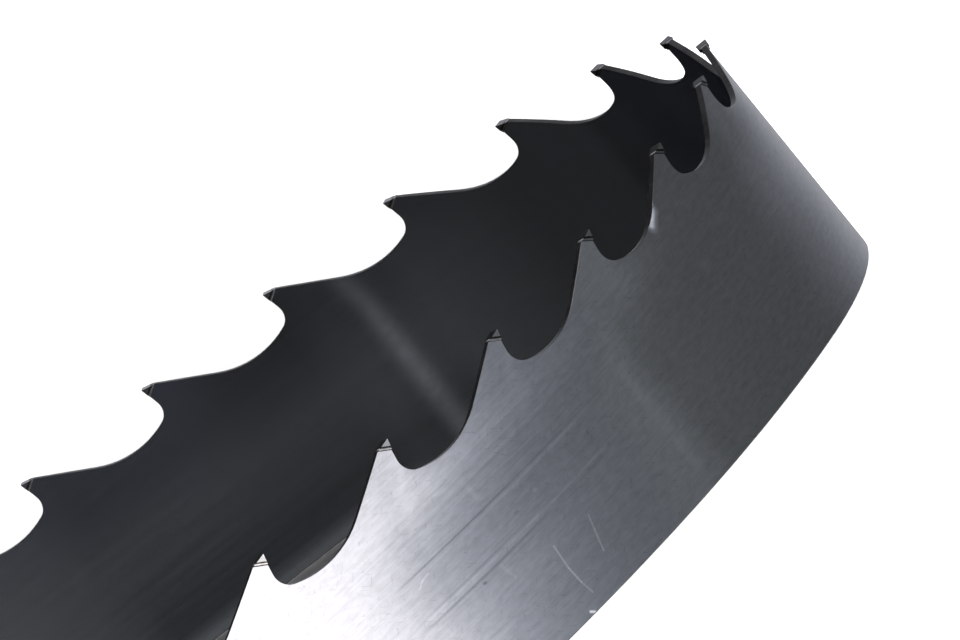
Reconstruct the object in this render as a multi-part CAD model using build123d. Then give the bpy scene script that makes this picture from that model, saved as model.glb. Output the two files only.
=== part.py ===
from build123d import *
import os
from math import cos, pi, radians, sin, tan

# An endless sawmill band: a spring steel strip joined into a loop, with hard tips on its teeth.
# The loop stands on its back edge with the teeth up. Seen from above it is a long oval that is
# the same when turned half round: bow, bend and straight, then bow, bend and straight again.
# Everything is in millimetres. The teeth cut towards growing distance along the loop.

# The strip
tooth_pitch = 31.75
tooth_count = 108
band_width = 50.0
band_thickness = 1.25
back_edge_chamfer = 0.2

# The oval, measured to the middle of the strip's thickness
bow_radius = 186.0
bend_radius = 103.0
bend_angle = 116.0
first_tip_distance = 13.0

# The gullet
hook_angle = 12.0
root_radius = 3.4
floor_angle = 22.0
floor_radius = 19.0
back_angle = 29.0

# The hard tip
tip_face_length = 2.1
tip_land_length = 2.8
tip_relief_angle = 12.0
tip_side_clearance = 0.6
tip_foot_height = 0.6
tip_foot_overhang = 0.15

# How far a cutting shape runs past what it cuts
cut_past = 1.0

# Worked out from the sizes above
bow_angle = 180 - bend_angle
bow_length = bow_radius * radians(bow_angle)
bend_length = bend_radius * radians(bend_angle)
half_loop = tooth_pitch * tooth_count / 2
straight_length = half_loop - bow_length - bend_length
across_at_bow = bow_radius * (1 - cos(radians(bow_angle)))
across_at_bend = bend_radius * (1 + cos(radians(bow_angle)))
half_across = (across_at_bow + across_at_bend) / 2
bow_start = (straight_length - (bow_radius - bend_radius) * sin(radians(bow_angle))) / 2
bulge_in_a_pitch = tooth_pitch**2 / (8 * min(bow_radius, bend_radius))
cutter_reach = band_thickness / 2 + bulge_in_a_pitch + cut_past


def ahead(point, heading, distance):
    """The point reached from another by going straight on a heading in degrees."""
    return Vector(point) + Vector(cos(radians(heading)), sin(radians(heading))) * distance


def middle_line(distance):
    """The strip's middle at a distance round the loop, and its heading there in degrees."""
    turned_half, along = divmod(distance % (2 * half_loop), half_loop)
    spot = Vector(bow_start, -half_across)
    heading = 0.0
    for radius, length in ((bow_radius, bow_length), (bend_radius, bend_length)):
        step = min(along, length)
        centre = ahead(spot, heading + 90, radius)
        heading += step / radius * 180 / pi
        spot = ahead(centre, heading - 90, radius)
        along -= step
    spot = ahead(spot, heading, along)
    return spot.rotate(Axis.Z, 180 * turned_half), heading + 180 * turned_half


def strip_frame(distance):
    """A frame on the strip's middle: x along the strip, y up, z out of the loop."""
    spot, heading = middle_line(distance)
    return Plane(origin=spot, x_dir=ahead((0, 0), heading, 1), z_dir=ahead((0, 0), heading - 90, 1))


def oval(outward):
    """The oval's face, with its edge moved outward from the strip's middle."""
    edges = []
    for start in (0, half_loop):
        spot, heading = middle_line(start)
        for radius, angle in ((bow_radius, bow_angle), (bend_radius, bend_angle)):
            centre = ahead(spot, heading + 90, radius)
            edges.append(CenterArc(centre, radius + outward, heading - 90, angle))
            heading += angle
            spot = ahead(centre, heading - 90, radius)
        edge_start = ahead(spot, heading - 90, outward)
        edges.append(Line(edge_start, ahead(edge_start, heading, straight_length)))
    return make_face(edges)


def way(angle):
    """A step of one on a heading in degrees, in a side view."""
    return Vector(cos(radians(angle)), sin(radians(angle)))


# The side view of one tooth: x along the strip from the tip's cutting edge, y the height.
down_face = way(-90 - hook_angle)
down_floor = way(-floor_angle)
up_back = way(back_angle)
cutting_edge = Vector(0, band_width)
face_foot = cutting_edge + down_face * (tip_face_length / cos(radians(hook_angle)))
land_end = cutting_edge - Vector(1, tan(radians(tip_relief_angle))) * tip_land_length
next_land_end = land_end + Vector(tooth_pitch, 0)


def gullet_cutter():
    """What the cutter takes out between one tip and the next, centred between the two.

    It runs down the tooth's face, round the root, along the floor's arc and up the next back,
    and the face is as long as puts the floor's end on that back.
    """
    root = JernArc((0, 0), down_face, root_radius, 90 + hook_angle - floor_angle)
    floor = JernArc(root @ 1, down_floor, floor_radius, floor_angle + back_angle)
    off_back = way(back_angle + 90)
    back_start = next_land_end - floor @ 1
    face_length = (back_start - cutting_edge).dot(off_back) / down_face.dot(off_back)
    root_start = cutting_edge + down_face * face_length
    floor_end = root_start + floor @ 1
    above_tip = cutting_edge - down_face * cut_past
    above_land = next_land_end + up_back * ((above_tip.Y - next_land_end.Y) / up_back.Y)
    outline = [Line(above_tip, root_start), Pos(root_start) * root, Pos(root_start) * floor]
    outline += [Line(floor_end, above_land), Line(above_land, above_tip)]
    return Pos(-tooth_pitch / 2, 0) * extrude(make_face(outline), cutter_reach, both=True)


def seat_cutter():
    """What comes off a tooth above the slanted seat of its hard tip."""
    along_seat = (land_end - face_foot).normalized()
    low_end = face_foot - along_seat * cut_past
    high_end = land_end + along_seat * cut_past
    top = cutting_edge.Y + 2 * cut_past
    face = make_face(Polyline(low_end, high_end, (high_end.X, top), (low_end.X, top), close=True))
    return extrude(face, cutter_reach, both=True)


def hard_tip():
    """A tip: a plain foot as on a welded joint, and ground sides that flare to the cutting edge."""
    along_seat = (land_end - face_foot).normalized()
    up_from_seat = Vector(along_seat.Y, -along_seat.X)
    tip_height = (cutting_edge - face_foot).dot(up_from_seat)
    foot = band_thickness / 2 + tip_foot_overhang
    edge = band_thickness / 2 + tip_side_clearance
    section_plane = Plane(origin=face_foot - along_seat * cut_past, x_dir=(0, 0, 1), z_dir=along_seat)
    side_up = section_plane.y_dir.dot(up_from_seat)
    outline = [(-foot, 0), (-foot, tip_foot_height), (-edge, tip_height), (edge, tip_height)]
    outline += [(foot, tip_foot_height), (foot, 0)]
    section = make_face(Polyline([(x, y * side_up) for x, y in outline], close=True))
    bar = extrude(section_plane * section, 2 * cut_past + (land_end - face_foot).length)
    blank = extrude(make_face(Polyline(cutting_edge, face_foot, land_end, close=True)), edge, both=True)
    return blank & bar


def band_body():
    """The strip's loop with its gullets and tip seats cut, and its back edge dressed."""
    body = extrude(oval(band_thickness / 2) - oval(-band_thickness / 2), band_width)
    back_edges = body.edges().group_by(Axis.Z)[0]
    body = chamfer(back_edges, back_edge_chamfer)
    gullet = gullet_cutter()
    seat = seat_cutter()
    cutters = []
    for distance in tip_distances:
        cutters.append(strip_frame(distance + tooth_pitch / 2) * gullet)
        cutters.append(strip_frame(distance) * seat)
    return body.cut(*cutters)


def tooth_tips():
    """One hard tip on each tooth, as a group of separate solids."""
    tip = hard_tip()
    return Compound(children=[strip_frame(distance) * tip for distance in tip_distances])


tip_distances = [first_tip_distance + number * tooth_pitch for number in range(tooth_count)]

os.makedirs("parts", exist_ok=True)
export_step(band_body(), "parts/band_body.step")
export_step(tooth_tips(), "parts/tooth_tips.step")
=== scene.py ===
import bpy
from math import cos, pi, radians, sin, tan
from mathutils import Matrix, Vector


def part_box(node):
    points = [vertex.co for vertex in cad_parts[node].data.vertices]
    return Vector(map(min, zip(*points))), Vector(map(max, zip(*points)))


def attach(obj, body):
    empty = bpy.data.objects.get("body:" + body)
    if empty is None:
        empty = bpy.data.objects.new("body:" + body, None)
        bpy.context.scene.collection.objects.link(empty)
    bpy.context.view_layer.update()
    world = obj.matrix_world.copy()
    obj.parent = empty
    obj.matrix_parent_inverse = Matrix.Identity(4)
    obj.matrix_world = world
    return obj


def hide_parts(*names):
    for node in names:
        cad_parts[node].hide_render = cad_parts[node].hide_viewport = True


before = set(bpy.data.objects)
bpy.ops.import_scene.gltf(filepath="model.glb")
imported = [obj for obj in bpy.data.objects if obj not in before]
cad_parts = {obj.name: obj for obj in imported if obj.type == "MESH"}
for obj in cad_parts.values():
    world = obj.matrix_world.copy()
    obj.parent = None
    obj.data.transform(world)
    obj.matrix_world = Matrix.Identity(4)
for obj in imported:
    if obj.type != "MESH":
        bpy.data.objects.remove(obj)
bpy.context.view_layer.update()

# An endless sawmill band on its back edge. Everything is in metres, in the frame of the CAD.
mm = 0.001

# The strip and its oval, as in the part's source
tooth_pitch = 31.75 * mm
tooth_count = 108
band_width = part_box("tooth_tips")[1][2]
band_thickness = 1.25 * mm
back_edge_chamfer = 0.2 * mm
bow_radius = 186 * mm
bend_radius = 103 * mm
bow_angle = radians(64)
bend_angle = radians(116)
first_tip_distance = 13 * mm

# What is ground off the strip's other edges, and the tooth before the weld, counted from 0
ground_edge = 0.07 * mm
weld_tooth = 33

# The gullet, as in the part's source
hook_angle = radians(12)
root_radius = 3.4 * mm
floor_angle = radians(22)
floor_radius = 19 * mm
back_angle = radians(29)

# The hard tip, as in the part's source
tip_face_length = 2.1 * mm
tip_land_length = 2.8 * mm
tip_relief_angle = radians(12)
tip_side_clearance = 0.6 * mm

# How the tip's sides are ground, the bead of melted metal under it, and how far it sinks into that
tip_side_angle = radians(4)
tip_rear_clearance = radians(0.5)
bead_height = 0.5 * mm
bead_overhang = 0.25 * mm
bead_rounding = 0.12 * mm
tip_sink = 0.05 * mm

# How many straight steps stand for each curve, and up to which height the strip is plain
rise_steps = 6
back_steps = 5
root_steps = 7
fall_steps = 5
bead_rounding_steps = 3
guide_steps = 96
plain_height = 36 * mm

# How close points are merged: in one tip, between two teeth, and where the loop closes
same_point = 0.001 * mm
between_teeth = 0.01 * mm
closing_gap = 0.05 * mm
# What tells one height from another, and a square corner from a blunt one
hair = 0.1 * mm
square_corner = radians(80)

# What the camera needs to see the part as the photograph does
camera_aim = Vector((713.8, 87.4, 25.0)) * mm
camera_distance = 1911.8 * mm
camera_azimuth = radians(98.525)
camera_elevation = radians(9.639)
camera_roll = radians(39.436)
camera_lens = 360.92
sensor_width = 36

# Worked out from the sizes above
half_loop = tooth_pitch * tooth_count / 2
bow_length = bow_radius * bow_angle
bend_length = bend_radius * bend_angle
straight_length = half_loop - bow_length - bend_length
across_at_bow = bow_radius * (1 - cos(bow_angle))
across_at_bend = bend_radius * (1 + cos(bow_angle))
half_across = (across_at_bow + across_at_bend) / 2
bow_start = (straight_length - (bow_radius - bend_radius) * sin(bow_angle)) / 2


def way(angle):
    """A step of one on a heading, in a side view of the flat strip: x along it, z up."""
    return Vector((cos(angle), 0, sin(angle)))


def arc_step(radius, start, turn):
    """How far an arc goes that starts on a heading and turns left."""
    return (way(start + turn - pi / 2) - way(start - pi / 2)) * radius


def middle_line(distance):
    """The strip's middle at a distance round the loop, and its heading there."""
    turned_half, along = divmod(distance % (2 * half_loop), half_loop)
    spot = Vector((bow_start, -half_across, 0))
    heading = 0.0
    for radius, length in ((bow_radius, bow_length), (bend_radius, bend_length)):
        step = min(along, length)
        centre = spot + Vector((-sin(heading), cos(heading), 0)) * radius
        heading += step / radius
        spot = centre + Vector((sin(heading), -cos(heading), 0)) * radius
        along -= step
    spot += Vector((cos(heading), sin(heading), 0)) * along
    spot.rotate(Matrix.Rotation(pi * turned_half, 3, "Z"))
    return spot, heading + pi * turned_half


# The side view of one tooth, its cutting edge at x = 0: the tip, then the gullet's three curves
cutting_edge = Vector((0, 0, band_width))
down_face = way(-pi / 2 - hook_angle)
face_foot = cutting_edge + down_face * (tip_face_length / cos(hook_angle))
land_end = cutting_edge - Vector((1, 0, tan(tip_relief_angle))) * tip_land_length
along_seat = (land_end - face_foot).normalized()
off_seat = Vector((along_seat.z, 0, -along_seat.x))
root_turn = pi / 2 + hook_angle - floor_angle
root = arc_step(root_radius, -pi / 2 - hook_angle, root_turn)
fall = arc_step(floor_radius, -floor_angle, floor_angle)
rise = arc_step(floor_radius, 0, back_angle)


def gullet_low_point():
    """The gullet's lowest point, after the tooth whose cutting edge is at x = 0."""
    off_back = way(back_angle + pi / 2)
    next_land_end = land_end + Vector((tooth_pitch, 0, 0))
    to_back = next_land_end - cutting_edge - root - fall - rise
    face_length = to_back.dot(off_back) / down_face.dot(off_back)
    return cutting_edge + down_face * face_length + root + fall


# The unit of the strip that repeats runs from the lowest point of one gullet to the next.
low_point = gullet_low_point()
tooth_at = Vector((tooth_pitch - low_point.x, 0, 0))
weld_distance = first_tip_distance + weld_tooth * tooth_pitch + low_point.x


def select_only(piece):
    """Makes a piece the only selected and active one."""
    bpy.ops.object.select_all(action="DESELECT")
    piece.select_set(True)
    bpy.context.view_layer.objects.active = piece


def start_editing(piece):
    """Opens a piece for editing, with all of it selected."""
    select_only(piece)
    bpy.ops.object.mode_set(mode="EDIT")
    bpy.ops.mesh.select_all(action="SELECT")


def stop_editing():
    bpy.ops.object.mode_set(mode="OBJECT")


def select_edges(piece, wanted):
    """Opens a piece with only those edges selected for which wanted() is true."""
    stop_editing()
    mesh = piece.data
    for parts in (mesh.vertices, mesh.edges, mesh.polygons):
        parts.foreach_set("select", [False] * len(parts))
    for edge in mesh.edges:
        edge.select = wanted(edge)
    bpy.ops.object.mode_set(mode="EDIT")
    bpy.ops.mesh.select_mode(type="EDGE")


def extrude(step):
    bpy.ops.mesh.extrude_region_move(TRANSFORM_OT_translate={"value": step})


def face_outward():
    """Turns all faces of the open piece outward."""
    bpy.ops.mesh.select_all(action="SELECT")
    bpy.ops.mesh.normals_make_consistent(inside=False)


def apply_modifier(piece, kind, **settings):
    """Adds a modifier with its settings and applies it."""
    select_only(piece)
    modifier = piece.modifiers.new(kind.lower(), kind)
    for name, value in settings.items():
        setattr(modifier, name, value)
    bpy.ops.object.modifier_apply(modifier=modifier.name)


def loop_line():
    """A closed guide along the middle of the strip, which starts at the weld."""
    arcs = ((bow_radius, bow_angle), (bend_radius, bend_angle / 2), (bend_radius, bend_angle / 2))
    half = [(radius * angle, 4 / 3 * tan(angle / 4) * radius) for radius, angle in arcs]
    to_weld = weld_distance - bow_length - bend_length
    from_weld = straight_length - to_weld
    # Each stretch has its length and that of its handles, which make the curve follow an arc, or
    # share a straight out evenly.
    stretches = [(from_weld, from_weld / 3)] + half + [(straight_length, straight_length / 3)]
    stretches += half + [(to_weld, to_weld / 3)]
    curve = bpy.data.curves.new("loop_line", "CURVE")
    curve.dimensions = "3D"
    curve.twist_mode = "Z_UP"
    curve.resolution_u = guide_steps
    spline = curve.splines.new("BEZIER")
    spline.bezier_points.add(len(stretches) - 1)
    distance = weld_distance
    handle_before = stretches[-1][1]
    # A closed curve is followed from its last point, so the weld's point comes last.
    knots = [spline.bezier_points[-1]] + list(spline.bezier_points[:-1])
    for knot, (length, handle) in zip(knots, stretches):
        spot, heading = middle_line(distance)
        ahead = Vector((cos(heading), sin(heading), 0))
        knot.co = spot
        knot.handle_left_type = knot.handle_right_type = "FREE"
        knot.handle_left = spot - ahead * handle_before
        knot.handle_right = spot + ahead * handle
        handle_before = handle
        distance += length
    spline.use_cyclic_u = True
    guide = bpy.data.objects.new("loop_line", curve)
    bpy.context.collection.objects.link(guide)
    return guide


def lay_on_loop(piece, guide):
    """Repeats a piece along the strip, one for each tooth, and lays it on the loop.

    The strip's own map, which all materials read, keeps each point's distance round the loop and
    its height, in metres.
    """
    apply_modifier(piece, "ARRAY", count=tooth_count, use_relative_offset=False,
                   use_constant_offset=True, constant_offset_displace=(tooth_pitch, 0, 0),
                   use_merge_vertices=True, merge_threshold=between_teeth)
    places = [piece.data.vertices[loop.vertex_index].co for loop in piece.data.loops]
    strip_map = piece.data.uv_layers.get("strip") or piece.data.uv_layers.new(name="strip")
    from_bow = weld_distance - 2 * half_loop
    mapped = [value for place in places for value in (place.x + from_bow, place.z)]
    strip_map.data.foreach_set("uv", mapped)
    apply_modifier(piece, "CURVE", object=guide, deform_axis="POS_X")


def tooth_profile():
    """The strip's upper edge over one pitch, drawn from a gullet's lowest point to the next."""
    bpy.ops.object.select_all(action="DESELECT")
    bpy.ops.mesh.primitive_plane_add(size=mm)
    piece = bpy.context.object
    piece.name = "toothed_strip"
    start_editing(piece)
    bpy.ops.mesh.merge(type="CENTER")
    start = Vector((0, 0, low_point.z))
    bpy.ops.transform.translate(value=start)
    across = Vector((0, 1, 0))
    floor_up = Vector((0, 0, floor_radius))
    # Up the floor and the tooth's back, down the tip's seat and the tooth's face, and round the
    # root to where the floor falls to the next lowest point
    bpy.ops.mesh.spin(steps=rise_steps, angle=back_angle, center=start + floor_up, axis=across)
    for number in range(back_steps):
        extrude((tooth_at + land_end - start - rise) / back_steps)
    extrude(face_foot - land_end)
    end = start + Vector((tooth_pitch, 0, 0))
    root_start = end - fall - root
    extrude(root_start - tooth_at - face_foot)
    root_centre = root_start + way(-hook_angle) * root_radius
    bpy.ops.mesh.spin(steps=root_steps, angle=root_turn, center=root_centre, axis=across)
    bpy.ops.mesh.spin(steps=fall_steps, angle=floor_angle, center=end + floor_up, axis=across)
    stop_editing()
    return piece


def plain_wall():
    """The plain part of one pitch of the strip, with as many columns as the profile has steps."""
    seat_and_face = 2
    columns = rise_steps + back_steps + seat_and_face + root_steps + fall_steps
    bpy.ops.object.select_all(action="DESELECT")
    bpy.ops.mesh.primitive_grid_add(x_subdivisions=columns, y_subdivisions=1, size=1,
                                    location=(tooth_pitch / 2, 0, plain_height / 2),
                                    rotation=(pi / 2, 0, 0))
    wall = bpy.context.object
    wall.scale = (tooth_pitch, plain_height, 1)
    bpy.ops.object.transform_apply(location=True, rotation=True, scale=True)
    return wall


def tooth_wall():
    """One pitch of the strip as a flat wall, from the lowest point of a gullet to the next."""
    piece = tooth_profile()
    wall = plain_wall()
    select_only(piece)
    wall.select_set(True)
    bpy.ops.object.join()
    start_editing(piece)
    points = piece.data.vertices

    def on_gap(edge):
        return all(points[v].co.z > plain_height - hair for v in edge.vertices)

    select_edges(piece, on_gap)
    bpy.ops.mesh.bridge_edge_loops()
    face_outward()
    stop_editing()
    return piece


def take_off_corners(piece, size, wanted):
    """Takes off those square edges of a piece for which wanted() is true."""
    start_editing(piece)
    bpy.ops.mesh.select_mode(type="EDGE")
    bpy.ops.mesh.select_all(action="DESELECT")
    bpy.ops.mesh.edges_select_sharp(sharpness=square_corner)
    stop_editing()
    square = {edge.index for edge in piece.data.edges if edge.select}
    select_edges(piece, lambda edge: edge.index in square and wanted(edge))
    bpy.ops.mesh.bevel(offset=size, segments=1, affect="EDGES")
    stop_editing()


def toothed_strip(guide):
    """The strip: toothed wall round the loop, given its thickness, its edges dressed."""
    piece = tooth_wall()
    # While the wall is flat, -y is out of the loop, and its faces look there.
    if piece.data.polygons[0].normal.y > 0:
        piece.data.flip_normals()
    lay_on_loop(piece, guide)
    start_editing(piece)
    bpy.ops.mesh.remove_doubles(threshold=closing_gap)
    stop_editing()
    # The thickness gives the inner face and the rim slots of their own, which must be there first.
    for slot in range(3):
        piece.data.materials.append(None)
    apply_modifier(piece, "SOLIDIFY", thickness=band_thickness, offset=0, use_even_offset=True,
                   material_offset=1, material_offset_rim=2)

    def above_back_edge(edge):
        return piece.data.vertices[edge.vertices[0]].co.z > hair

    take_off_corners(piece, ground_edge, above_back_edge)
    take_off_corners(piece, back_edge_chamfer, lambda edge: True)
    return piece


def cut(at, facing):
    """Cuts the open piece by a plane, closes the cut and drops the side that the plane faces."""
    bpy.ops.mesh.select_all(action="SELECT")
    bpy.ops.mesh.bisect(plane_co=at, plane_no=facing, use_fill=True, clear_outer=True)


def tip_blank(name, half_width):
    """A block round a tip, cut to the tooth's face and the land and left open for editing."""
    bpy.ops.object.select_all(action="DESELECT")
    middle = (cutting_edge + face_foot + land_end) / 3 + tooth_at
    bpy.ops.mesh.primitive_cube_add(size=1, location=middle)
    piece = bpy.context.object
    piece.name = name
    ample = 2 * tip_land_length
    piece.scale = (ample, 2 * half_width, ample)
    bpy.ops.object.transform_apply(location=True, rotation=True, scale=True)
    start_editing(piece)
    cut(cutting_edge + tooth_at, way(-hook_angle))
    cut(cutting_edge + tooth_at, way(tip_relief_angle + pi / 2))
    return piece


def ground_tips(guide):
    """The hard tips: sides ground back from the cutting edge, towards the seat and to the rear."""
    edge = band_thickness / 2 + tip_side_clearance
    piece = tip_blank("ground_tips", edge)
    cut(face_foot + tooth_at + off_seat * (bead_height - tip_sink), off_seat * -1)
    for side in (1, -1):
        corner = cutting_edge + tooth_at + Vector((0, side * edge, 0))
        sideways = Vector((0, side, 0))
        tilt = along_seat * tan(tip_rear_clearance) - off_seat * tan(tip_side_angle)
        cut(corner, sideways + tilt)
    bpy.ops.mesh.remove_doubles(threshold=same_point)
    face_outward()
    stop_editing()
    lay_on_loop(piece, guide)
    return piece


def tip_beads(guide):
    """The bead of melted metal that holds each tip, rounded along its sides."""
    piece = tip_blank("tip_beads", band_thickness / 2 + bead_overhang)
    cut(face_foot + tooth_at + off_seat * bead_height, off_seat)
    cut(face_foot + tooth_at, off_seat * -1)
    bpy.ops.mesh.remove_doubles(threshold=same_point)
    points = piece.data.vertices
    nearly_along = 0.9

    def runs_along(edge):
        step = (points[edge.vertices[0]].co - points[edge.vertices[1]].co).normalized()
        return abs(step.dot(along_seat)) > nearly_along

    select_edges(piece, runs_along)
    bpy.ops.mesh.bevel(offset=bead_rounding, segments=bead_rounding_steps, affect="EDGES")
    face_outward()
    stop_editing()
    lay_on_loop(piece, guide)
    return piece


def dress(piece, node, slot, smooth_angle, *materials):
    """Smooths a finished piece, gives it its materials, puts it under the root and hides the CAD
    part it stands for.
    """
    select_only(piece)
    bpy.ops.object.shade_smooth_by_angle(angle=smooth_angle)
    for number, material in enumerate(materials):
        if number < len(piece.data.materials):
            piece.data.materials[number] = material
        else:
            piece.data.materials.append(material)
    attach(piece, "root")
    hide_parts(node)


def connect(tree, made, inputs):
    """Links or sets the inputs of a shader node, by their names or numbers."""
    for name, value in dict(inputs).items():
        if isinstance(value, bpy.types.NodeSocket):
            tree.links.new(value, made.inputs[name])
        else:
            made.inputs[name].default_value = value


def node(tree, kind, inputs=(), **settings):
    """Adds a shader node with its settings and inputs."""
    made = tree.nodes.new("ShaderNode" + kind)
    for name, value in settings.items():
        setattr(made, name, value)
    connect(tree, made, inputs)
    return made


def math(tree, operation, *values):
    """A number worked out from one, two or three others."""
    return node(tree, "Math", enumerate(values), operation=operation).outputs[0]


def weighted(tree, *parts):
    """The sum of some values, each with its weight."""
    total = 0.0
    for value, weight in parts:
        total = math(tree, "MULTIPLY_ADD", value, weight, total)
    return total


def blend(tree, factor, colour_a, colour_b, mode="MIX"):
    """A colour between two others, whose sockets on the Mix node have the numbers 6 and 7."""
    made = node(tree, "Mix", data_type="RGBA", blend_type=mode)
    connect(tree, made, {0: factor, 6: colour_a, 7: colour_b})
    return made.outputs[2]


def spread(tree, value, low, high, new_low=0.0, new_high=1.0, course="LINEAR"):
    """A value stretched from one range to another and kept inside it."""
    made = node(tree, "MapRange", {"Value": value, "From Min": low, "From Max": high,
                                   "To Min": new_low, "To Max": new_high},
                interpolation_type=course)
    return made.outputs["Result"]


def noise(tree, place, scale, detail, roughness=0.5):
    """Soft noise about 0.5, with its scale in spots to the metre."""
    return node(tree, "TexNoise", {"Vector": place, "Scale": scale, "Detail": detail,
                                   "Roughness": roughness}).outputs["Fac"]


def fill(tree, value, new_low=0.0, new_high=1.0):
    """A noise, most of which lies between 0.3 and 0.7, stretched to fill a range."""
    return spread(tree, value, 0.3, 0.7, new_low, new_high)


def ramp(tree, value, stops):
    """A colour read from a list of stops, each with its place from 0 to 1 and its colour."""
    made = node(tree, "ValToRGB", {"Fac": value})
    elements = made.color_ramp.elements
    elements.remove(elements[1])
    elements[0].position = stops[0][0]
    elements[0].color = stops[0][1]
    for place, colour in stops[1:]:
        elements.new(place).color = colour
    return made.outputs["Color"]


def fine_relief(tree, height, strength, depth, normal=None):
    """A normal that follows fine heights, on top of another where one is given."""
    made = node(tree, "Bump", {"Height": height, "Strength": strength, "Distance": depth})
    if normal is not None:
        connect(tree, made, {"Normal": normal})
    return made.outputs[0]


def grey(value):
    return (value, value, value, 1)


# The metals' colours, dark and light
outer_dark, outer_light = (0.38, 0.41, 0.46, 1), (0.57, 0.61, 0.69, 1)
inner_dark, inner_light = (0.41, 0.455, 0.5, 1), (0.5, 0.515, 0.61, 1)
milled_dark, milled_light = (0.3, 0.31, 0.33, 1), (0.55, 0.57, 0.6, 1)
tip_dark, tip_light = (0.28, 0.3, 0.32, 1), (0.43, 0.45, 0.48, 1)
bead_dark, bead_light = (0.34, 0.35, 0.37, 1), (0.52, 0.53, 0.55, 1)
# Bare metal in scratches and painted highlights, dull metal in nicks, a bead's joint, a tip's
# painted shadow
bare_metal_and_highlight = (0.9, 0.96, 1.0, 1)
dull_metal = grey(0.2)
dark_joint = grey(0.1)
tip_painted_shadow = grey(0.03)


def new_group(name, inputs, outputs):
    """A shader node group with its named inputs and outputs, and the two ends of its tree."""
    tree = bpy.data.node_groups.new(name, "ShaderNodeTree")
    for title, kind in inputs:
        tree.interface.new_socket(title, in_out="INPUT", socket_type="NodeSocket" + kind)
    for title, kind in outputs:
        tree.interface.new_socket(title, in_out="OUTPUT", socket_type="NodeSocket" + kind)
    given = tree.nodes.new("NodeGroupInput").outputs
    return tree, given, tree.nodes.new("NodeGroupOutput")


def use_group(tree, group, inputs):
    """Adds a node group and gives its outputs."""
    return node(tree, "Group", inputs, node_tree=group).outputs


def grinding_lines_group():
    """Fine lines along the strip, from 0 between them to 1 on them."""
    tree, given, end = new_group(
        "grinding_lines",
        (("Place", "Vector"), ("Spacing", "Float"), ("Length", "Float"), ("Seed", "Float")),
        (("Lines", "Float"),))
    parts = node(tree, "SeparateXYZ", {"Vector": given["Place"]})
    along = math(tree, "DIVIDE", parts.outputs["X"], given["Length"])
    across = math(tree, "DIVIDE", parts.outputs["Y"], given["Spacing"])
    place = node(tree, "CombineXYZ", {"X": along, "Y": across, "Z": given["Seed"]})
    uneven = noise(tree, place.outputs[0], 1.0, 2.0, roughness=0.6)
    connect(tree, end, {"Lines": fill(tree, uneven)})
    return tree


grinding_lines = grinding_lines_group()


def lines_at(tree, place, spacing, length, seed):
    """Grinding lines with their spacing and length, others for each seed."""
    inputs = {"Place": place, "Spacing": spacing, "Length": length, "Seed": seed}
    return use_group(tree, grinding_lines, inputs)["Lines"]


def scratch_group():
    """A straight scratch from one place to another, 1 on its line and 0 beyond its width."""
    tree, given, end = new_group(
        "scratch",
        (("Place", "Vector"), ("Start", "Vector"), ("End", "Vector"), ("Width", "Float")),
        (("Mask", "Float"),))

    def vectors(operation, first, second, output):
        return node(tree, "VectorMath", {0: first, 1: second}, operation=operation).outputs[output]

    run = vectors("SUBTRACT", given["End"], given["Start"], "Vector")
    here = vectors("SUBTRACT", given["Place"], given["Start"], "Vector")
    here_on_run = vectors("DOT_PRODUCT", here, run, "Value")
    run_squared = vectors("DOT_PRODUCT", run, run, "Value")
    share = spread(tree, math(tree, "DIVIDE", here_on_run, run_squared), 0.0, 1.0)
    near = node(tree, "VectorMath", {0: run, "Scale": share}, operation="SCALE").outputs[0]
    off = math(tree, "DIVIDE", vectors("DISTANCE", here, near, "Value"), given["Width"])
    connect(tree, end, {"Mask": spread(tree, off, 0.1, 1.0, 1.0, 0.0, "SMOOTHSTEP")})
    return tree


def ground_grain_group():
    """Steel ground along its length: lines, streaks, clouds, mottles, specks and slanting nicks."""
    tree, given, end = new_group(
        "ground_grain", (("Place", "Vector"), ("Dark", "Color"), ("Light", "Color")),
        (("Color", "Color"), ("Streaks", "Float")))
    place = given["Place"]
    fine = lines_at(tree, place, 0.4 * mm, 8 * mm, 1.0)
    streaks = lines_at(tree, place, 1.5 * mm, 45 * mm, 4.0)
    cloud = noise(tree, place, 70.0, 4.0)
    stretched = node(tree, "Mapping", {"Vector": place, "Scale": (400, 900, 1)}).outputs[0]
    mottle = spread(tree, noise(tree, stretched, 1.0, 3.0), 0.35, 0.65)
    tone = weighted(tree, (fine, 0.35), (streaks, 0.15), (cloud, 0.2), (mottle, 0.3))
    colour = blend(tree, tone, given["Dark"], given["Light"])
    speck_depth = 0.35
    specks = spread(tree, noise(tree, place, 1000.0, 2.0), 0.66, 0.78, 0.0, speck_depth)
    colour = blend(tree, specks, colour, dull_metal)
    nick_depth = 0.22
    for slant, seed in ((radians(35), 3.0), (radians(-50), 5.0)):
        turned = node(tree, "Mapping", {"Vector": place, "Rotation": (0, 0, slant)}).outputs[0]
        nicks = lines_at(tree, turned, 0.5 * mm, 3 * mm, seed)
        colour = blend(tree, spread(tree, nicks, 0.82, 1.0, 0.0, nick_depth), colour, dull_metal)
    connect(tree, end, {"Color": colour, "Streaks": streaks})
    return tree


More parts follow.
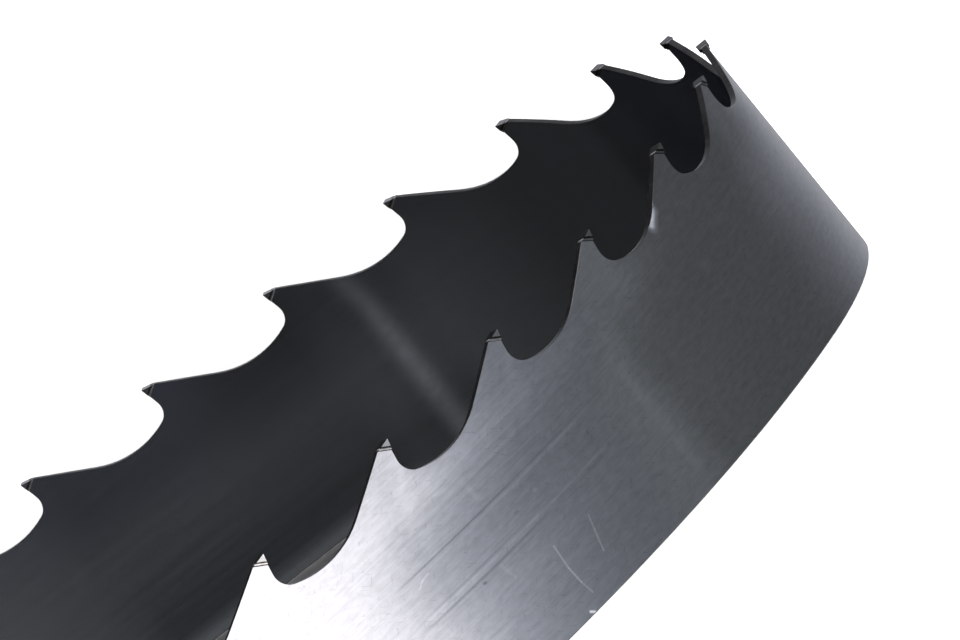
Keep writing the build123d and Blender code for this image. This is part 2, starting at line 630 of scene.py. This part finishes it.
def weld_patch_group():
    """The strip's joint, ground flush: a lighter patch with its own fine lines and a dark seam."""
    tree, given, end = new_group(
        "weld_patch", (("Place", "Vector"), ("Color", "Color"), ("Light", "Color")),
        (("Color", "Color"),))
    distance = node(tree, "SeparateXYZ", {"Vector": given["Place"]}).outputs["X"]
    past_weld = math(tree, "SUBTRACT", distance, weld_distance)
    from_weld = math(tree, "PINGPONG", past_weld, half_loop)
    lines = lines_at(tree, given["Place"], 0.6 * mm, 12 * mm, 7.0)
    patch = blend(tree, lines, given["Light"], bare_metal_and_highlight)
    on_patch = spread(tree, from_weld, 6 * mm, 9 * mm, 0.35, 0.0, "SMOOTHSTEP")
    colour = blend(tree, on_patch, given["Color"], patch)
    on_seam = spread(tree, from_weld, 0.3 * mm, 0.9 * mm, 0.3, 0.0, "SMOOTHSTEP")
    connect(tree, end, {"Color": blend(tree, on_seam, colour, dull_metal)})
    return tree


def tooth_place_group():
    """How far a place on a tooth is above the tip's seat, and how far behind its cutting edge."""
    tree, given, end = new_group(
        "tooth_place", (("Place", "Vector"),), (("Above Seat", "Float"), ("Behind Edge", "Float")))
    parts = node(tree, "SeparateXYZ", {"Vector": given["Place"]})
    from_tip = math(tree, "SUBTRACT", parts.outputs["X"], first_tip_distance)
    in_pitch = math(tree, "WRAP", from_tip, -0.9 * tooth_pitch, 0.1 * tooth_pitch)
    along = math(tree, "SUBTRACT", in_pitch, face_foot.x)
    up = math(tree, "SUBTRACT", parts.outputs["Y"], face_foot.z)
    connect(tree, end, {"Above Seat": weighted(tree, (up, off_seat.z), (along, off_seat.x)),
                        "Behind Edge": math(tree, "MULTIPLY", in_pitch, -1.0)})
    return tree


scratch = scratch_group()
ground_grain = ground_grain_group()
weld_patch = weld_patch_group()
tooth_place = tooth_place_group()


def new_material(name, metallic=1):
    """A material with its node tree and shader."""
    material = bpy.data.materials.new(name)
    material.use_nodes = True
    shader = material.node_tree.nodes["Principled BSDF"]
    shader.inputs["Metallic"].default_value = metallic
    return material, material.node_tree, shader


def strip_place(tree):
    """A point's distance round the loop and its height, from the strip's own map."""
    return node(tree, "UVMap", uv_map="strip").outputs[0]


def by_height(tree, height, values, reach):
    """A value between -reach and reach, given at some heights in millimetres."""
    stops = [(at * mm / band_width, grey(0.5 + value / (2 * reach))) for at, value in values]
    profile = ramp(tree, math(tree, "DIVIDE", height, band_width), stops)
    return math(tree, "MULTIPLY_ADD", profile, 2 * reach, -reach)


def mark_mask(tree, place, line):
    """Where a mark is, from the distance and height of its two ends and its width, in mm."""
    distance_a, height_a, distance_b, height_b, width = [size * mm for size in line]
    ends = {"Start": (distance_a, height_a, 0), "End": (distance_b, height_b, 0)}
    return use_group(tree, scratch, {"Place": place, "Width": width, **ends})["Mask"]


def shade_runs(tree, distance, height, colour, runs):
    """The colour, made lighter or darker by height in each run: thin lines, and bands of painted
    light and shade.
    """
    fade_in, fade_out = 4, 6
    for start, end, shades in runs:
        shown = spread(tree, distance, (start - fade_in) * mm, (start + fade_in) * mm)
        ended = spread(tree, distance, (end - fade_out) * mm, (end + fade_out) * mm, 1.0, 0.0)
        shade = math(tree, "MULTIPLY", math(tree, "MULTIPLY", shown, ended),
                     by_height(tree, height, shades, 1.0))
        lit = {0: colour, "Scale": math(tree, "ADD", shade, 1.0)}
        colour = node(tree, "VectorMath", lit, operation="SCALE").outputs[0]
    return colour


def add_marks(tree, place, colour, marks):
    """The colour with its marks: scratches of bare metal, pits, and soft bands of painted highlight
    and shade.
    """
    for *line, lighter in marks:
        mask = mark_mask(tree, place, line)
        if lighter < 0:
            colour = blend(tree, mask, colour, grey(1 + lighter), "MULTIPLY")
        else:
            colour = blend(tree, math(tree, "MULTIPLY", mask, lighter), colour, bare_metal_and_highlight)
    return colour


def turned_metal(tree, place, distance, height, turns, glints):
    """The strip's normal, turned about the upright by height, and more in its glints."""
    turn = by_height(tree, height, turns, 0.5)
    turn = math(tree, "MULTIPLY", turn, spread(tree, distance, first_turned, fully_turned))
    turn = math(tree, "MULTIPLY", turn, spread(tree, distance, last_turned, turned_back, 1.0, 0.0))
    for *line, more in glints:
        turn = math(tree, "MULTIPLY_ADD", mark_mask(tree, place, line), more, turn)
    red = math(tree, "MULTIPLY_ADD", turn, 0.5, 0.5)
    facing = node(tree, "CombineColor", {"Red": red, "Green": 0.5, "Blue": 1.0}).outputs[0]
    return node(tree, "NormalMap", {"Color": facing}, uv_map="strip").outputs[0]


def ground_band(name, dark, light, roughness, relief, turns, runs, marks, glints=()):
    """Spring steel ground along its length, with runs and marks, some of them painted light and
    shade, and glints.

    Turns give how far the metal is turned at each height, in radians. A run has the distances
    between which it shows, and how much lighter it is at each height. A mark has the distance and
    height of its two ends, its width and how much lighter it is, and a glint how far its metal is
    turned instead. Distances, heights and widths are in millimetres.
    """
    material, tree, shader = new_material(name)
    place = strip_place(tree)
    parts = node(tree, "SeparateXYZ", {"Vector": place}).outputs
    distance, height = parts["X"], parts["Y"]
    grain = use_group(tree, ground_grain, {"Place": place, "Dark": dark, "Light": light})
    colour = shade_runs(tree, distance, height, grain["Color"], runs)
    colour = add_marks(tree, place, colour, marks)
    patched = use_group(tree, weld_patch, {"Place": place, "Color": colour, "Light": light})
    normal = turned_metal(tree, place, distance, height, turns, glints)
    connect(tree, shader, {
        "Base Color": patched["Color"],
        "Roughness": spread(tree, grain["Streaks"], 0.0, 1.0, roughness - 0.02, roughness + 0.03),
        "Normal": fine_relief(tree, grain["Streaks"], relief, 0.02 * mm, normal),
        "Anisotropic": 0.7,
        "Anisotropic Rotation": 0.25,
        "Tangent": node(tree, "Tangent", direction_type="UV_MAP", uv_map="strip").outputs[0]})
    return material


def milled_steel(name):
    """The gullets and lands: cutter lines across the thickness, on darker and stained steel."""
    material, tree, shader = new_material(name)
    place = strip_place(tree)
    cuts = noise(tree, place, 2600.0, 2.0)
    stains = noise(tree, place, 180.0, 4.0)
    tone = weighted(tree, (stains, 0.6), (cuts, 0.4))
    connect(tree, shader, {
        "Base Color": blend(tree, spread(tree, tone, 0.35, 0.65), milled_dark, milled_light),
        "Roughness": fill(tree, tone, 0.42, 0.52),
        "Normal": fine_relief(tree, cuts, 0.3, 0.01 * mm)})
    return material


def ground_alloy(name):
    """The hard tips: fine lines, a bright cutting edge, and a painted shadow line at the foot by
    the bead.
    """
    material, tree, shader = new_material(name)
    place = strip_place(tree)
    tooth = use_group(tree, tooth_place, {"Place": place})
    lines = lines_at(tree, place, 0.14 * mm, 1.6 * mm, 2.5)
    cloud = noise(tree, place, 900.0, 3.0)
    tone = weighted(tree, (cloud, 0.5), (lines, 0.5))
    worn = spread(tree, tooth["Behind Edge"], 0.05 * mm, 0.25 * mm, 0.5, 0.0, "SMOOTHSTEP")
    colour = blend(tree, worn, blend(tree, tone, tip_dark, tip_light), bare_metal_and_highlight)
    # A dark line painted at the tip's foot, above the bead: painted shadow under the ground sides
    shadow_top = fill(tree, cloud, 0.62 * mm, 0.74 * mm)
    above = math(tree, "SUBTRACT", tooth["Above Seat"], shadow_top)
    in_shadow = spread(tree, above, -0.06 * mm, 0.06 * mm, 1.0, 0.0)
    connect(tree, shader, {
        "Base Color": blend(tree, in_shadow, colour, tip_painted_shadow),
        "Roughness": spread(tree, lines, 0.0, 1.0, 0.2, 0.26),
        "Normal": fine_relief(tree, lines, 0.2, 0.005 * mm)})
    return material


def melted_alloy(name):
    """The beads under the tips: soft ripples, and a dark line where they meet the tooth."""
    material, tree, shader = new_material(name)
    place = strip_place(tree)
    tooth = use_group(tree, tooth_place, {"Place": place})
    ripples = noise(tree, place, 1400.0, 2.0)
    colour = blend(tree, fill(tree, ripples), bead_dark, bead_light)
    at_joint = spread(tree, tooth["Above Seat"], 0.08 * mm, 0.16 * mm, 0.8, 0.0)
    connect(tree, shader, {
        "Base Color": blend(tree, at_joint, colour, dark_joint),
        "Roughness": fill(tree, ripples, 0.2, 0.26),
        "Normal": fine_relief(tree, ripples, 0.2, 0.01 * mm)})
    return material


def thin_lines(*lines):
    """The shades of some lines, each given by its height, its width and how much lighter it is."""
    shades = [(0, 0)]
    for at, width, shade in lines:
        shades += [(at - width / 2, 0), (at, shade), (at + width / 2, 0)]
    return shades


# How far the outer face is turned at each height, as in a strip that bends a little across its
# width too, and between which distances that comes in and goes out again
outer_turns = ((0, 0.014), (6, 0.01), (15, -0.004), (25, 0), (33, -0.032), (38, -0.077),
               (44, -0.068))
# The inner face isn't turned.
inner_turns = ((0, 0),)
first_turned = 78 * mm
fully_turned = 110 * mm
last_turned = 235 * mm
turned_back = 262 * mm

# Single lines along the outer face
outer_lines = (
    (92, 119, thin_lines((6.3, 0.8, -0.08), (18.3, 0.5, -0.14), (19.3, 0.8, -0.34),
                         (20.4, 0.8, 0.16), (21.1, 0.6, -0.18), (28.3, 0.55, -0.45),
                         (33.7, 1.0, -0.1), (35.5, 1.0, -0.12), (36.9, 0.7, -0.1))),
    (116, 143, thin_lines((19.35, 0.5, -0.12), (20.3, 0.7, 0.22), (27.6, 0.9, 0.22),
                          (28.35, 0.5, -0.16), (33.6, 0.9, -0.12), (34.4, 0.7, 0.12),
                          (35.5, 0.7, -0.06))))
# Its scratches, pits, pale spots and a pale blob, with a painted highlight streak and a painted
# shade band
outer_marks_and_painted_bands = (
    (94.9, 25.9, 96.2, 26.6, 0.25, 0.3), (96.2, 26.6, 98, 26.95, 0.25, 0.25),
    (120.5, 14.3, 120.0, 9.5, 0.3, 0.6), (120.0, 9.5, 120.2, 6, 0.33, 0.75),
    (120.2, 6, 120.7, 3.2, 0.3, 0.5), (130.2, 13.8, 129.2, 11, 0.28, 0.5),
    (129.2, 11, 127.9, 7.1, 0.3, 0.6), (105.1, 18.4, 105.4, 18.3, 0.45, -0.4),
    (118.7, 23.6, 119.2, 23.6, 0.5, -0.2), (124.8, 24.2, 125.0, 24.1, 0.6, 0.2),
    (114.6, 33, 114.9, 30.5, 0.9, 0.12), (109.9, 18.5, 110.6, 15.2, 0.6, 0.12),
    (190.5, 28.8, 191.2, 28.4, 3.0, 0.08), (156.3, 27, 156.4, 5, 2.6, 0.13),
    (164.5, 36, 165, 2, 5.5, -0.08))
# A bright nick at the back edge, and the glint beside a gullet
outer_glints = (
    (117.8, 0.9, 118.5, 0.3, 0.5, -0.16), (186.3, 41.4, 189.0, 43.1, 2.2, -0.46))
# Past the bend the inner face is painted light along the back edge and dark above: painted light
# and shade.
inner_painted_shades = (
    (400, 424, ((0, -0.25), (8, -0.3), (16, 0), (25, 0.1), (36, -0.05))),
    (424, 490, ((0, 1), (1.5, 0.7), (3, 0), (4.5, -0.35), (9, -0.36), (14, -0.2), (25, 0.02),
                (36, -0.25))))
# A pale spot on the inner face, and a wide soft patch of painted light farther along it
inner_marks_and_painted_light = ((492, 28.5, 492.6, 28, 4.0, 0.06), (520, 30, 520, 5, 36.0, 0.25))

guide = loop_line()
band = toothed_strip(guide)
tips = ground_tips(guide)
beads = tip_beads(guide)
bpy.data.objects.remove(guide)
dress(band, "band_body", "band_steel", radians(30),
      ground_band("outer_steel", outer_dark, outer_light, 0.3, 0.2, outer_turns, outer_lines,
                  outer_marks_and_painted_bands, outer_glints),
      ground_band("inner_steel", inner_dark, inner_light, 0.17, 0.05, inner_turns, inner_painted_shades,
                  inner_marks_and_painted_light),
      milled_steel("gullet_steel"))
dress(tips, "tooth_tips", "tip_alloy", radians(20), ground_alloy("ground_alloy"))
dress(beads, "tooth_tips", "tip_alloy", radians(60), melted_alloy("melted_alloy"))

# The room's light by direction, in degrees from +X towards +Y, with its tint
warm, cool, plain_grey = (1.1, 1.0, 0.94), (1.0, 1.0, 1.04), (1.0, 1.0, 0.96)
room_light = (
    (-180, 0.03, plain_grey), (-150, 0.034, plain_grey), (-132, 0.055, plain_grey),
    (-118, 0.075, plain_grey), (-108, 0.06, plain_grey), (-105.2, 0.245, plain_grey),
    (-103.8, 0.245, plain_grey), (-102, 0.035, plain_grey), (-100.2, 0.03, plain_grey),
    (-98.5, 0.1, plain_grey), (-95, 0.06, plain_grey), (-76, 0.015, plain_grey),
    (-69, 2.4, warm), (-50, 2.4, warm), (-38, 0.66, cool), (-24, 0.3, cool), (-10, 0.18, cool),
    (-5.5, 0.145, plain_grey), (-3.4, 0.37, plain_grey), (-1.6, 0.37, plain_grey),
    (0.5, 0.13, plain_grey), (20, 0.115, plain_grey), (36, 0.105, plain_grey), (55, 0.19, cool),
    (70, 0.34, cool), (79, 0.44, cool), (88, 0.52, cool), (97, 0.68, cool),
    (101, 0.03, plain_grey), (135, 0.015, plain_grey), (160, 0.015, plain_grey),
    (173, 0.019, plain_grey))
# The light that falls on the floor from all round
dull_light = 0.005
# The room is darker overhead: from which height on, at which it is darkest, how much light is left
dim_from = radians(15)
dim_at = radians(38)
overhead_light = 0.3
# The floor, which glows a little so that it stays pale
floor_size = 400
floor_colour = grey(0.85)
floor_glow = 0.03


def floor_light(name, azimuth, elevation, softness, strength):
    """A soft light from far off on the floor, which glossy metal doesn't mirror."""
    data = bpy.data.lights.new(name, "SUN")
    data.energy = strength
    data.angle = softness
    lamp = bpy.data.objects.new(name, data)
    flat = Vector((cos(azimuth), sin(azimuth), 0)) * cos(elevation)
    towards = flat + Vector((0, 0, sin(elevation)))
    lamp.rotation_euler = towards.to_track_quat("Z", "Y").to_euler()
    lamp.visible_glossy = False
    bpy.context.collection.objects.link(lamp)


def floor():
    """A plain pale floor, which glossy metal doesn't mirror."""
    bpy.ops.object.select_all(action="DESELECT")
    bpy.ops.mesh.primitive_plane_add(size=floor_size)
    ground = bpy.context.object
    ground.name = "floor"
    ground.visible_glossy = False
    material, tree, shader = new_material("pale_floor", metallic=0)
    connect(tree, shader, {"Base Color": floor_colour, "Roughness": 0.9,
                           "Emission Color": grey(1.0), "Emission Strength": floor_glow})
    ground.data.materials.append(material)


def studio():
    """The room's soft light: pale to the camera, and for all else bright and dark by direction."""
    world = bpy.data.worlds.new("studio")
    world.use_nodes = True
    tree = world.node_tree
    tree.nodes.clear()
    direction = node(tree, "TexCoord").outputs["Generated"]
    parts = node(tree, "SeparateXYZ", {"Vector": direction})
    azimuth = math(tree, "ARCTAN2", parts.outputs["Y"], parts.outputs["X"])
    share = spread(tree, azimuth, -pi, pi)
    stops = [(degrees / 360 + 0.5, (light * tint[0], light * tint[1], light * tint[2], 1))
             for degrees, light, tint in room_light]
    height = spread(tree, parts.outputs["Z"], sin(dim_from), sin(dim_at), 1.0, overhead_light)
    room = node(tree, "Background", {"Color": ramp(tree, share, stops), "Strength": height})
    plain = node(tree, "Background", {"Color": grey(1), "Strength": 1.0})
    dim = node(tree, "Background", {"Color": grey(dull_light), "Strength": 1.0})
    path = node(tree, "LightPath").outputs
    lit = node(tree, "MixShader",
               {0: path["Is Diffuse Ray"], 1: room.outputs[0], 2: dim.outputs[0]})
    both = node(tree, "MixShader",
                {0: path["Is Camera Ray"], 1: lit.outputs[0], 2: plain.outputs[0]})
    node(tree, "OutputWorld", {"Surface": both.outputs[0]})
    bpy.context.scene.world = world


def look():
    """The camera, turned as the photograph's."""
    flat = Vector((cos(camera_azimuth), sin(camera_azimuth), 0)) * cos(camera_elevation)
    forward = flat - Vector((0, 0, sin(camera_elevation)))
    level = forward.cross(Vector((0, 0, 1))).normalized()
    above = level.cross(forward)
    up = above * cos(camera_roll) + level * sin(camera_roll)
    data = bpy.data.cameras.new("camera")
    data.lens = camera_lens
    data.sensor_width = sensor_width
    camera = bpy.data.objects.new("camera", data)
    camera.matrix_world = Matrix((forward.cross(up), up, -forward)).transposed().to_4x4()
    camera.location = camera_aim - forward * camera_distance
    bpy.context.collection.objects.link(camera)
    bpy.context.scene.camera = camera


floor()
studio()
floor_light("high_light", radians(95), radians(70), radians(8), 4.0)
floor_light("low_light", radians(-80), radians(6.5), radians(4), 34.0)
look()
bpy.context.scene.view_settings.view_transform = "Standard"
